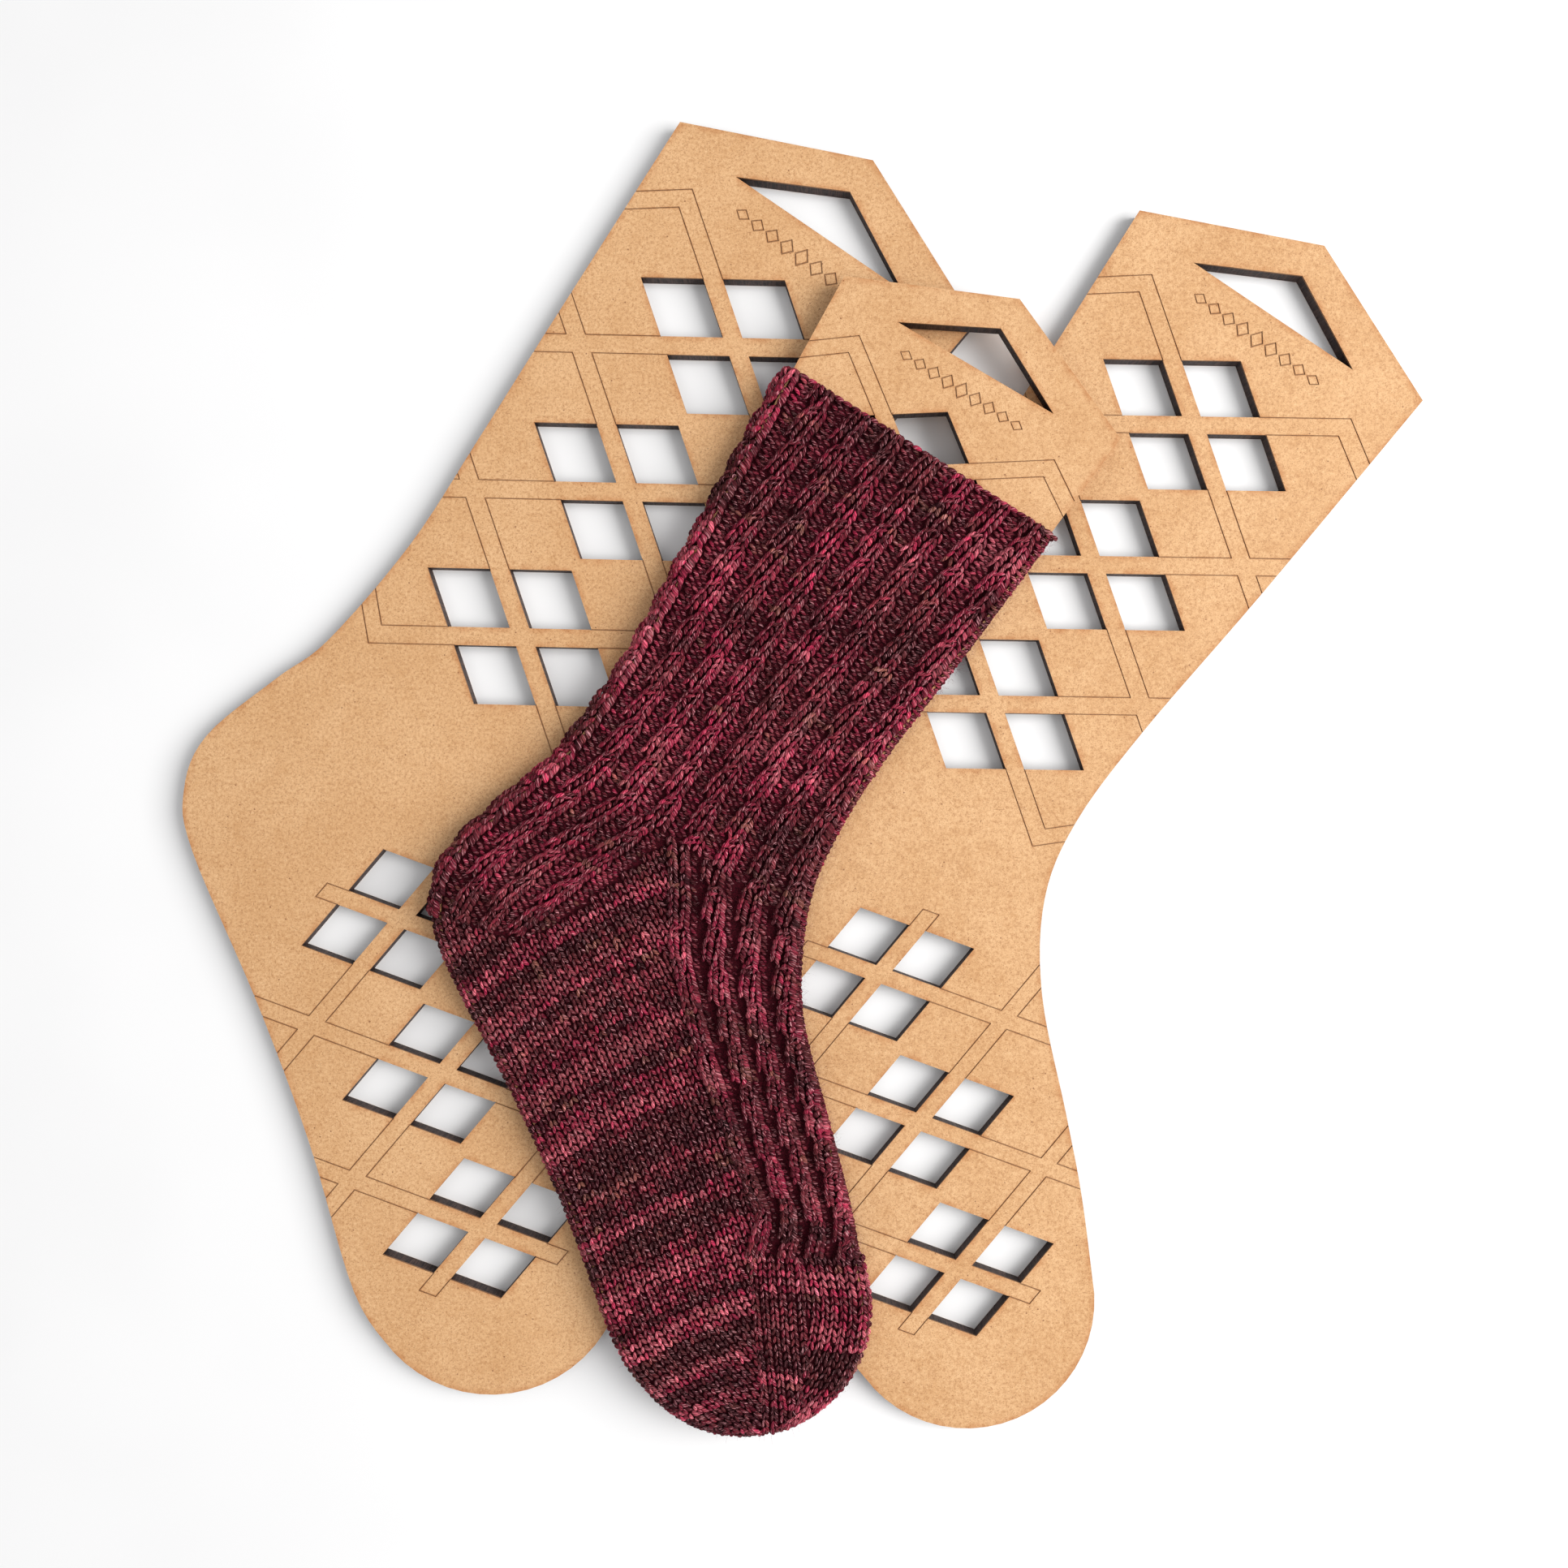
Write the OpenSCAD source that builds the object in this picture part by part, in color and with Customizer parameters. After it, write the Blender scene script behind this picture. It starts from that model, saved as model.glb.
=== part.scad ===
// Set of three flat sock blockers in stepped sizes, laid out on a table:
// the large and the medium board lie side by side, and the small board,
// with a hand-knitted sock stretched over it, rests across both.
//
// Every blocker is the same design at its own scale. The design frame has
// its origin at the ankle point, +Y up the leg towards the handle, and the
// foot axis pointing down to the right. All sizes below are millimetres and
// belong to the medium blocker.

/* [Board stock] */
// Thickness of the board that the blockers are cut from
board_t = 6.35; // [3:0.05:12]

/* [Blocker sizes] */
// Scale of the large blocker
large_scale = 1.046; // [1:0.001:1.1]
// Scale of the small blocker
small_scale = 0.922; // [0.85:0.001:0.99]

/* [Leg] */
// Ankle point to the tip of the handle
tip_h = 265.5; // [258:0.5:285]
// Ankle point to the shoulder corners, where the handle starts
shoulder_h = 241; // [236:0.5:250]
// Width across the shoulder corners
shoulder_w = 113.4; // [100:0.2:125]
// Width at the narrowest part of the leg
leg_w = 91.8; // [86:0.2:98]

/* [Foot] */
// Angle of the foot axis below the horizontal
foot_drop = 39; // [34:0.5:44]
// Ankle point to the tip of the toe
foot_l = 183.3; // [175:0.1:200]
// Radius of the round toe
toe_r = 42.5; // [39:0.1:45]
// Width across the middle of the foot
foot_w = 94.6; // [90:0.2:100]
// Ankle point to the back of the heel
heel_r = 63; // [58:0.2:66]

/* [Handle opening] */
// Half width of the triangular hand opening
grip_half_w = 32; // [24:0.5:36]
// Height of the lower corners of the opening above the ankle point
grip_h = 236.5; // [232:0.5:242]
// Rise of the top corner of the opening above its lower corners
grip_rise = 16.6; // [10:0.2:20]

/* [Lattice windows] */
// Angle of the lattice bars to the line across the leg or foot
lattice_angle = 35; // [30:0.5:40]
// Width of the lattice bars in the leg
leg_bar_w = 5.8; // [4:0.1:8]
// Side of a rhombic window in the leg
leg_window = 19.85; // [14:0.05:21]
// Distance between the leg window groups
leg_pitch = 57.3; // [54:0.1:60]
// Height of the top leg window group above the ankle point
leg_first = 191.8; // [188:0.1:196]
// Width of the lattice bars in the foot
foot_bar_w = 5.3; // [4:0.1:8]
// Side of a rhombic window in the foot
foot_window = 17.3; // [12:0.05:19]
// Distance between the foot window groups
foot_pitch = 50.8; // [48:0.1:54]
// Distance from the ankle point to the first foot window group
foot_first = 28.4; // [26:0.1:32]

/* [Scored lines] */
// Width of the laser-scored lines
score_w = 0.35; // [0.2:0.05:0.8]
// Depth of the laser-scored lines
score_d = 0.35; // [0.1:0.05:0.8]
// Length of the capped bar stubs past the end windows of the foot
stub_l = 7; // [4:0.5:10]
// Turn of the upper leg bars' outer arms, away from the lattice
upper_tilt = 3.5; // [0:0.5:8]
// Turn of the lower leg bars' outer arms, away from the lattice
lower_tilt = 9; // [0:0.5:14]
// How much shorter the lowest leg bars are than a lattice side
lower_pull = 3; // [0:0.5:6]
// Height of the engraved chain above the ankle point
chain_h = 227; // [222:0.5:229]
// Number of lozenges in the engraved chain under the hand opening
chain_n = 9; // [5:2:13]
// Length of the engraved chain
chain_l = 52; // [30:1:56]

/* [Sock] */
// Thickness of the knitted fabric on the two faces
knit_t = 2.2; // [1.5:0.1:4]
// How far the fabric stands out beyond the edge of the small blocker
knit_edge = 2.8; // [2:0.1:4]
// Gap kept between the sock and the boards
knit_gap = 0.3; // [0.1:0.05:0.6]
// Height of the cuff above the ankle point of the small blocker
cuff_h = 185; // [150:1:200]
// Rise of the cuff edge from its corners to its middle
cuff_rise = 3; // [0:0.5:6]
// Extra length of the toe past the tip of the small blocker
toe_slack = 1; // [0:0.5:5]
// How far the fabric spans off the board across the hollow of the instep
bridge = 3; // [0:0.5:8]

/* [Layout on the table] */
// Turn of the large blocker
large_turn = -36.3; // [-60:0.1:-20]
// Turn of the medium blocker
medium_turn = -35.9; // [-60:0.1:-20]
// Ankle point of the medium blocker, to the right of the large one's
medium_x = 158.9; // [157:0.1:240]
// Ankle point of the medium blocker, above the large one's
medium_y = -19.7; // [-40:0.1:0]
// Turn of the small blocker
small_turn = -32.5; // [-60:0.1:-20]
// Ankle point of the small blocker, to the right of the large one's
small_x = 80.4; // [0:0.1:160]
// Ankle point of the small blocker, above the large one's
small_y = -31.7; // [-80:0.1:40]

/* [Hidden] */

groups = 3;                   // window groups in the leg, and in the foot
curve_steps = 6;              // straight steps between two outline knots
arc_steps = 20;               // straight steps round the toe
sole_side_a = -62;            // where the toe arc meets the sole
instep_side_a = 78;           // where the toe arc meets the instep
eps = 0.05;                   // overshoot of a cut past a face
overrun = 0.6;                // overshoot of a scored line past its ends, in half widths
reach = 30;                   // arm length that surely leaves the board
leg_hw = leg_w / 2;
foot_hw = foot_w / 2;
toe_u = foot_l - toe_r;       // toe centre along the foot axis
sock_z = board_t + knit_gap;  // underside of the sock
small_z = sock_z + knit_t + knit_gap;
sock_h = board_t + 2 * (knit_t + knit_gap);

// ---- outline -------------------------------------------------------------

// A point given along (u) and across (v) the foot axis
function on_foot(u, v) = [
    u * cos(foot_drop) + v * sin(foot_drop),
    v * cos(foot_drop) - u * sin(foot_drop)
];

// A point on a circle about the ankle point
function about_ankle(r, a) = [r * cos(a), r * sin(a)];

// One point of a smooth curve between knots b and c, with neighbours a and d
function blend_knots(a, b, c, d, t) = 0.5 * (
    2 * b + (c - a) * t + (2 * a - 5 * b + 4 * c - d) * t * t
    + (3 * b - a - 3 * c + d) * t * t * t
);

// A smooth curve through knots, without the last knot itself
function curve(knots) = [
    for (i = [0 : len(knots) - 2])
        for (step = [0 : curve_steps - 1])
            blend_knots(
                knots[max(i - 1, 0)], knots[i],
                knots[i + 1], knots[min(i + 2, len(knots) - 1)],
                step / curve_steps
            )
];

// The round toe, from the sole side to the instep side
function toe_arc(slack) = [
    for (i = [0 : arc_steps])
        let (a = sole_side_a + (instep_side_a - sole_side_a) * i / arc_steps)
            on_foot(toe_u + slack + toe_r * cos(a), toe_r * sin(a))
];

function without_first(path) = [for (i = [1 : len(path) - 1]) path[i]];

// Knots down the back of the leg, round the heel and along the sole
function back_knots(slack) = [
    [-shoulder_w / 2, shoulder_h - 2],
    [-leg_hw - 5.6, 160],
    [-leg_hw - 2.7, 119],
    [-leg_hw - 0.4, 80],
    [-leg_hw - 3.4, 40],
    about_ankle(heel_r - 4, 160),
    about_ankle(heel_r, 187),
    about_ankle(heel_r + 0.5, 204),
    about_ankle(heel_r - 3.4, 222),
    on_foot(41.5, -foot_hw - 4),
    on_foot(89, -foot_hw + 0.8),
    on_foot(139.3 + slack, -toe_r - 2.2),
    toe_arc(slack)[0]
];

// Knots along the instep and up the front of the leg
function front_knots(slack, span) = [
    toe_arc(slack)[arc_steps],
    on_foot(117.2 + slack / 2, foot_hw - 1.3),
    on_foot(89.7, foot_hw + 0.8),
    on_foot(49.1, foot_hw + 3.4 + span / 4),
    on_foot(18.4, foot_hw + 12.6 + span),
    [leg_hw - 0.4 + span / 2, 62],
    [leg_hw + 0.1, 100],
    [leg_hw + 5.2, 160],
    [shoulder_w / 2, shoulder_h + 2]
];

// The closed outline of a blocker. slack makes the foot longer, and span
// fills the hollow of the instep.
function outline(slack = 0, span = 0) = concat(
    curve(back_knots(slack)),
    toe_arc(slack),
    without_first(curve(front_knots(slack, span))),
    [[shoulder_w / 2, shoulder_h + 2], [0, tip_h]]
);

// An outline moved outwards by d, along the normal at each point
function grown(path, d) = [
    for (i = [0 : len(path) - 1])
        let (
            before = path[(i + len(path) - 1) % len(path)],
            after = path[(i + 1) % len(path)],
            along = (after - before) / norm(after - before)
        )
        path[i] + d * [along[1], -along[0]]
];

// ---- lattice -------------------------------------------------------------
// A lattice frame has its +Y along the leg or foot axis. A place in it is
// given in bar coordinates: s along the bars that rise to the right, t along
// the bars that fall to the right.

function bar_point(s, t) = [
    (s + t) * cos(lattice_angle),
    (s - t) * sin(lattice_angle)
];

// Half of a bar's width, measured along the bars that cross it
function half_bar(bar_w) = bar_w / 2 / sin(2 * lattice_angle);

// Distance between crossings along a bar
function bar_l(pitch) = pitch / 2 / sin(lattice_angle);

// Four rhombic windows round one crossing
module window_group(bar_w, window) {
    near = half_bar(bar_w);
    far = near + window;
    for (side_s = [-1, 1])
        for (side_t = [-1, 1])
            polygon([
                bar_point(side_s * near, side_t * near),
                bar_point(side_s * far, side_t * near),
                bar_point(side_s * far, side_t * far),
                bar_point(side_s * near, side_t * far)
            ]);
}

// One scored line, running a little past both ends
module line(a, b) {
    along = (b - a) / norm(b - a) * score_w / 2;
    past = along * overrun;
    side = [-along[1], along[0]];
    polygon([a - past + side, b + past + side, b + past - side, a - past - side]);
}

// One scored line between two places in bar coordinates
module score(from, to) {
    line(bar_point(from[0], from[1]), bar_point(to[0], to[1]));
}

// Both edges of the four bars that leave a window group. The two that rise
// end up_l from the crossing, and the two that fall end down_l from it.
module group_scores(bar_w, window, up_l, down_l) {
    edge = half_bar(bar_w);
    start = edge + window - score_w;
    for (way = [-1, 1])
        for (side = [-1, 1]) {
            end_s = way > 0 ? up_l : down_l;
            end_t = way > 0 ? down_l : up_l;
            score([way * start, side * edge], [way * end_s, side * edge]);
            score([side * edge, way * start], [side * edge, way * end_t]);
        }
}

// The lines that close the two stubs above (way 1) or below (way -1) a group
module stub_caps(bar_w, end, way) {
    edge = half_bar(bar_w);
    score([way * end, -edge], [way * end, edge]);
    score([-edge, -way * end], [edge, -way * end]);
}

// Both edges of the two arms that run from a crossing to the board's edge
module crossing_arms(bar_w) {
    edge = half_bar(bar_w);
    for (side = [-1, 1]) {
        score([edge, side * edge], [reach, side * edge]);
        score([side * edge, edge], [side * edge, reach]);
    }
}

// A rising bar that turns down to the board's edge, with its corner here
module turned_bar(bar_w, tilt) {
    edge = half_bar(bar_w);
    outer = bar_point(edge, -edge);
    inner = bar_point(-edge, edge);
    away = reach * [cos(tilt - lattice_angle), sin(tilt - lattice_angle)];
    line(bar_point(-edge, -edge), outer);
    line(outer, outer + away);
    line(inner, inner + away);
}

// ---- cuts in the design frame ---------------------------------------------

function leg_group(i) = [0, leg_first - i * leg_pitch];
function foot_group(i) = on_foot(foot_first + i * foot_pitch, 0);

// Places children in the lattice frame of the foot, whose +Y points back
// along the foot axis towards the ankle
module in_foot(i) {
    translate(foot_group(i))
        rotate(90 - foot_drop)
            children();
}

module windows() {
    for (i = [0 : groups - 1]) {
        translate(leg_group(i)) window_group(leg_bar_w, leg_window);
        in_foot(i) window_group(foot_bar_w, foot_window);
    }
}

module grip_opening() {
    polygon([
        [-grip_half_w, grip_h - 1.1],
        [grip_half_w, grip_h + 1.1],
        [0, grip_h + grip_rise]
    ]);
}

module leg_scores() {
    l = bar_l(leg_pitch);
    full = l - half_bar(leg_bar_w);
    low_corner = bar_point(l - lower_pull, 0);
    for (i = [0 : groups - 1])
        translate(leg_group(i))
            group_scores(
                leg_bar_w, leg_window,
                full, i < groups - 1 ? full : full - lower_pull
            );
    for (i = [0 : groups - 2])
        translate(leg_group(i)) {
            translate(bar_point(0, l)) crossing_arms(leg_bar_w);
            mirror([1, 0]) translate(bar_point(0, l)) crossing_arms(leg_bar_w);
        }
    translate(leg_group(0)) {
        translate(bar_point(l, 0)) turned_bar(leg_bar_w, upper_tilt);
        mirror([1, 0])
            translate(bar_point(l, 0)) turned_bar(leg_bar_w, -upper_tilt);
    }
    translate(leg_group(groups - 1)) {
        mirror([0, 1]) translate(low_corner) turned_bar(leg_bar_w, -lower_tilt);
        rotate(180) translate(low_corner) turned_bar(leg_bar_w, -lower_tilt);
    }
}

module foot_scores() {
    l = bar_l(foot_pitch);
    full = l - half_bar(foot_bar_w);
    stub = half_bar(foot_bar_w) + foot_window + stub_l;
    for (i = [0 : groups - 1])
        in_foot(i)
            group_scores(
                foot_bar_w, foot_window,
                i > 0 ? full : stub, i < groups - 1 ? full : stub
            );
    in_foot(0) stub_caps(foot_bar_w, stub, 1);
    in_foot(groups - 1) stub_caps(foot_bar_w, stub, -1);
    for (i = [0 : groups - 2])
        in_foot(i) {
            translate(bar_point(0, l)) crossing_arms(foot_bar_w);
            mirror([1, 0]) translate(bar_point(0, l)) crossing_arms(foot_bar_w);
        }
}

// A plain chain of lozenges, larger towards its middle
module lozenge_chain() {
    step = chain_l / chain_n;
    for (i = [0 : chain_n - 1]) {
        from_middle = abs(i - (chain_n - 1) / 2) / ((chain_n - 1) / 2);
        half_h = 3.4 - 1.4 * from_middle;
        translate([(i - (chain_n - 1) / 2) * step, chain_h])
            lozenge_ring(step * 0.46, half_h);
    }
}

module lozenge_ring(half_w, half_h) {
    inner = 1 - 1.6 * score_w / half_w;
    difference() {
        polygon([[half_w, 0], [0, half_h], [-half_w, 0], [0, -half_h]]);
        scale(inner)
            polygon([[half_w, 0], [0, half_h], [-half_w, 0], [0, -half_h]]);
    }
}

// ---- solids ----------------------------------------------------------------

module blocker(size) {
    difference() {
        linear_extrude(board_t)
            scale(size)
                difference() {
                    polygon(outline());
                    windows();
                    grip_opening();
                }
        translate([0, 0, board_t - score_d])
            linear_extrude(score_d + eps)
                scale(size) {
                    leg_scores();
                    foot_scores();
                    lozenge_chain();
                }
    }
}

// Places children with the small blocker's ankle point and turn
module at_small(z) {
    translate([small_x, small_y, z])
        rotate(small_turn)
            children();
}

module large_blocker() {
    color([0.86, 0.69, 0.50])
        rotate(large_turn)
            blocker(large_scale);
}

module medium_blocker() {
    color([0.88, 0.71, 0.52])
        translate([medium_x, medium_y, 0])
            rotate(medium_turn)
                blocker(1);
}

module small_blocker() {
    color([0.84, 0.67, 0.48])
        at_small(small_z)
            blocker(small_scale);
}

// The area below the cuff edge, which rises towards the middle of the leg
module below_cuff() {
    half = shoulder_w / 2;
    polygon(concat(
        [[-reach * 5, -reach * 10], [reach * 10, -reach * 10]],
        [[reach * 10, cuff_h]],
        [
            for (i = [arc_steps : -1 : 0])
                let (x = half * (2 * i / arc_steps - 1))
                    [x, cuff_h + cuff_rise * (1 - pow(x / half, 2))]
        ],
        [[-reach * 5, cuff_h]]
    ));
}

// The sock: a closed shell round the small blocker, open only at the cuff
module sock() {
    path = outline(toe_slack, bridge) * small_scale;
    color([0.42, 0.15, 0.20])
        at_small(sock_z)
            difference() {
                linear_extrude(sock_h)
                    intersection() {
                        polygon(grown(path, knit_gap + knit_edge));
                        below_cuff();
                    }
                translate([0, 0, knit_t])
                    linear_extrude(board_t + 2 * knit_gap)
                        polygon(grown(path, knit_gap));
            }
}

large_blocker();
medium_blocker();
small_blocker();
sock();
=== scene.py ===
"""Looks for a set of three sock blockers, the small one wearing a hand-knitted sock.

The boards are the CAD nodes with a fibreboard material. The sock is knitted
here, stitch by stitch: every stitch is a few lobes of yarn, laid out in plan
on the sock's own outline and then wrapped over the edge of the board.
Lengths are millimetres until a mesh is made; MM turns them into metres.
"""
import math

import bpy
import mathutils
import numpy as np
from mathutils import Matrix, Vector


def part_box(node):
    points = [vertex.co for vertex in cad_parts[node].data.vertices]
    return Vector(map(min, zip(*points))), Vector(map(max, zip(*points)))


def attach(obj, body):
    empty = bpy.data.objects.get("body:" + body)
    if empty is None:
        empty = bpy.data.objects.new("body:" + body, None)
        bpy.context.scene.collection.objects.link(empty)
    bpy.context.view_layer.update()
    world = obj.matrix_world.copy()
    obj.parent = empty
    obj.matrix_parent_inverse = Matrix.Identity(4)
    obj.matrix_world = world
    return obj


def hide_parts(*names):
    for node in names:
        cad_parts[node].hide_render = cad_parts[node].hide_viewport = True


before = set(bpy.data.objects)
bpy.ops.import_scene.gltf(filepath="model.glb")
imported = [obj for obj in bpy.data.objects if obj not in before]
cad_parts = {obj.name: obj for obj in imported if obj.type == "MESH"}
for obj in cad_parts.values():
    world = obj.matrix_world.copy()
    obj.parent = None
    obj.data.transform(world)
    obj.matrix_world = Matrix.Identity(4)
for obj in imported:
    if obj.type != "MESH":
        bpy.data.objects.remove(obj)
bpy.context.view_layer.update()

MM = 0.001

# Where the small blocker's own frame lies in the shared one: its ankle point and turn
SMALL_AT = np.array([80.4, -31.7])
SMALL_TURN = math.radians(-32.5)

# Yarn and fabric
STITCH_W = 3.0          # one stitch across
HALF_BODY = 4.1         # from the board's mid-plane to the fabric's ground surface
EDGE_ROUND = 4.6        # how far in from the edge the fabric turns flat
EDGE_YARN = 1.5         # yarn outside the ground surface at the edge
BACK_PRESS = 0.5        # share of its height left to the back, pressed on the boards below
CUFF_CORNER = 3.4       # height of the outline's rounded corners at the cuff
FOOT_WAY = math.radians(-39)  # which way the foot points, in the small blocker's frame
MID_Z = sum(z for *_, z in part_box("small_blocker")) / 2 / MM  # mid-plane of the board


# ---- small helpers ---------------------------------------------------------

def srgb(r, g, b):
    """An sRGB colour from 0 to 255 as linear numbers."""
    c = np.array([r, g, b], float) / 255
    return np.where(c <= 0.04045, c / 12.92, ((c + 0.055) / 1.055) ** 2.4)


def rgba(colour):
    """A linear colour with full alpha, as the nodes take it."""
    return (*[float(x) for x in colour], 1.0)


def turned(xy, angle):
    """Points turned anticlockwise about the origin."""
    c, s = math.cos(angle), math.sin(angle)
    return xy @ np.array([[c, s], [-s, c]])


def to_shared(xy):
    """From the small blocker's frame to the shared one."""
    return turned(xy, SMALL_TURN) + SMALL_AT


def from_shared(xy):
    return turned(xy - SMALL_AT, -SMALL_TURN)


def smooth_step(x):
    """From 0 to 1 with level ends, for x from 0 to 1."""
    x = np.clip(x, 0, 1)
    return x * x * (3 - 2 * x)


class Patchwork:
    """Smooth random numbers over a plane, the same in every run."""

    def __init__(self, seed, size=64):
        self.grid = np.random.default_rng(seed).random((size, size))
        self.size = size

    def __call__(self, x, y):
        """Numbers from 0 to 1 at any places, one patch to each whole step of x and y."""
        xi, yi = np.floor(x).astype(int), np.floor(y).astype(int)
        fx, fy = smooth_step(x - xi), smooth_step(y - yi)
        n = self.size
        g = self.grid
        low = g[xi % n, yi % n] * (1 - fx) + g[(xi + 1) % n, yi % n] * fx
        high = g[xi % n, (yi + 1) % n] * (1 - fx) + g[(xi + 1) % n, (yi + 1) % n] * fx
        return low * (1 - fy) + high * fy


def make_mesh(name, points_mm, triangles):
    """A smooth-shaded mesh object from points in millimetres, in the shared frame."""
    mesh = bpy.data.meshes.new(name)
    mesh.vertices.add(len(points_mm))
    mesh.vertices.foreach_set("co", (points_mm * MM).astype(np.float32).ravel())
    mesh.loops.add(triangles.size)
    mesh.loops.foreach_set("vertex_index", triangles.astype(np.int32).ravel())
    mesh.polygons.add(len(triangles))
    mesh.polygons.foreach_set("loop_start", np.arange(0, triangles.size, 3, dtype=np.int32))
    mesh.update(calc_edges=True)
    mesh.validate()
    mesh.shade_smooth()
    obj = bpy.data.objects.new(name, mesh)
    bpy.context.scene.collection.objects.link(obj)
    return obj


def plan_uv(obj):
    """A texture layout: the piece seen from above, scaled to the unit square."""
    mesh = obj.data
    co = np.zeros(len(mesh.vertices) * 3, np.float32)
    mesh.vertices.foreach_get("co", co)
    co = co.reshape(-1, 3)[:, :2]
    low = co.min(0)
    margin = 0.01
    uv = margin + (1 - 2 * margin) * (co - low) / (co.max(0) - low).max()
    index = np.zeros(len(mesh.loops), np.int32)
    mesh.loops.foreach_get("vertex_index", index)
    layer = mesh.uv_layers.new(name="OFBake")
    layer.data.foreach_set("uv", uv[index].astype(np.float32).ravel())


# ---- materials -------------------------------------------------------------

# Fibreboard
BOARD = [srgb(213, 166, 118), srgb(223, 178, 131)]  # between these two all over
CLOUD = srgb(200, 149, 99)
DARK_GRAIN = srgb(178, 127, 81)
PALE_GRAIN = srgb(239, 201, 155)
FINE_GRAIN = srgb(152, 102, 62)
FLECK = srgb(120, 72, 44)
TOAST = srgb(172, 98, 42)
GROOVE = srgb(112, 70, 44)
CHAR = [srgb(38, 27, 28), srgb(84, 62, 54)]
GRAIN_SHIFT = np.array([211.0, 97.0, 13.0])  # from one board's piece of grain to the next
HALO_REACH = 3.6        # how far the toasted edge spreads from a cut

# Wool: laid over the dye, painted shade between fibres, paler fibres with a painted highlight,
# darker plies and painted shade in the ply creases; then the painted shade of the fabric's depth,
# and the loose fibres' colours
PAINTED_FIBRE_SHADE = srgb(26, 2, 7)
PALE_FIBRE_HIGHLIGHT = srgb(236, 168, 176)
DARK_PLY = srgb(34, 9, 13)
PLY_CREASE_SHADE = srgb(36, 3, 10)
PLY_PITCH = 1.13        # from one ply of the yarn to the next, in strand units
# painted shade: the fabric's depth between the stitches, coloured as yarn in shadow
DEPTH_SHADE = [srgb(36, 4, 10), srgb(76, 12, 26)]
FUZZ = [srgb(96, 34, 52), srgb(176, 104, 116)]

TABLE = [srgb(243, 243, 244), srgb(246, 246, 247)]


class Graph:
    """A material's node tree, built with short calls."""

    def __init__(self, name):
        self.material = bpy.data.materials.new(name)
        self.material.use_nodes = True
        self.tree = self.material.node_tree
        self.tree.nodes.clear()
        self.surface = self.node("ShaderNodeBsdfPrincipled")
        out = self.node("ShaderNodeOutputMaterial")
        self.tree.links.new(self.surface.outputs[0], out.inputs["Surface"])

    def node(self, kind, **settings):
        """A new node with some of its settings."""
        made = self.tree.nodes.new(kind)
        for key, value in settings.items():
            setattr(made, key, value)
        return made

    def put(self, socket, value):
        """Links an output to the socket, or sets the socket's own value."""
        if isinstance(value, bpy.types.NodeSocket):
            self.tree.links.new(value, socket)
        elif hasattr(socket.default_value, "__len__") and not hasattr(value, "__len__"):
            socket.default_value = [value] * len(socket.default_value)
        else:
            socket.default_value = value

    def set(self, name, value):
        """Puts a value into an input of the surface."""
        self.put(self.surface.inputs[name], value)

    def math(self, operation, a, b=0.0):
        n = self.node("ShaderNodeMath", operation=operation)
        self.put(n.inputs[0], a)
        self.put(n.inputs[1], b)
        return n.outputs[0]

    def vector(self, operation, a, b=(0, 0, 0), scale=None):
        n = self.node("ShaderNodeVectorMath", operation=operation)
        self.put(n.inputs[0], a)
        if scale is None:
            self.put(n.inputs[1], b)
        else:
            self.put(n.inputs["Scale"], scale)
        return n.outputs[0]

    def place(self):
        """The point on the object in millimetres."""
        metres = self.node("ShaderNodeTexCoord").outputs["Object"]
        return self.vector("SCALE", metres, scale=1 / MM)

    def part(self, vector, axis):
        """One part of a vector: 0 for x, 1 for y, 2 for z."""
        n = self.node("ShaderNodeSeparateXYZ")
        self.put(n.inputs[0], vector)
        return n.outputs[axis]

    def ramp(self, value, low, high, out_low=0.0, out_high=1.0):
        """From out_low to out_high as the value goes from low to high."""
        n = self.node("ShaderNodeMapRange", interpolation_type="SMOOTHSTEP")
        for key, x in (("Value", value), ("From Min", low), ("From Max", high),
                       ("To Min", out_low), ("To Max", out_high)):
            self.put(n.inputs[key], x)
        return n.outputs[0]

    def noise(self, vector, scale, detail=2.0, rough=0.5):
        n = self.node("ShaderNodeTexNoise")
        self.put(n.inputs["Vector"], vector)
        n.inputs["Scale"].default_value = scale
        n.inputs["Detail"].default_value = detail
        n.inputs["Roughness"].default_value = rough
        return n.outputs["Fac"]

    def mix(self, factor, a, b):
        """Colour a where the factor is 0 and b where it is 1."""
        n = self.node("ShaderNodeMix", data_type="RGBA")
        self.put(n.inputs[0], factor)
        for socket, colour in ((n.inputs[6], a), (n.inputs[7], b)):
            self.put(socket, rgba(colour) if isinstance(colour, np.ndarray) else colour)
        return n.outputs[2]

    def bump(self, height, strength, depth):
        """Fine relief in the surface; depth is in millimetres."""
        n = self.node("ShaderNodeBump")
        n.inputs["Strength"].default_value = strength
        n.inputs["Distance"].default_value = depth * MM
        self.put(n.inputs["Height"], height)
        self.put(self.surface.inputs["Normal"], n.outputs[0])


def fibre_ground(g, mm, cloud, grain, fine):
    """Broad tone and cloudy patches, then coarse and fine grain."""
    broad = g.noise(mm, 0.035, 3.0, 0.6)
    colour = g.mix(g.ramp(broad, 0.3, 0.7), *BOARD)
    colour = g.mix(g.ramp(cloud, 0.48, 0.75, 0.0, 0.40), colour, CLOUD)
    colour = g.mix(g.ramp(grain, 0.30, 0.55, 0.64, 0.0), colour, DARK_GRAIN)
    colour = g.mix(g.ramp(grain, 0.52, 0.75, 0.0, 0.50), colour, PALE_GRAIN)
    return g.mix(g.ramp(fine, 0.31, 0.47, 0.66, 0.0), colour, FINE_GRAIN)


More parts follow.
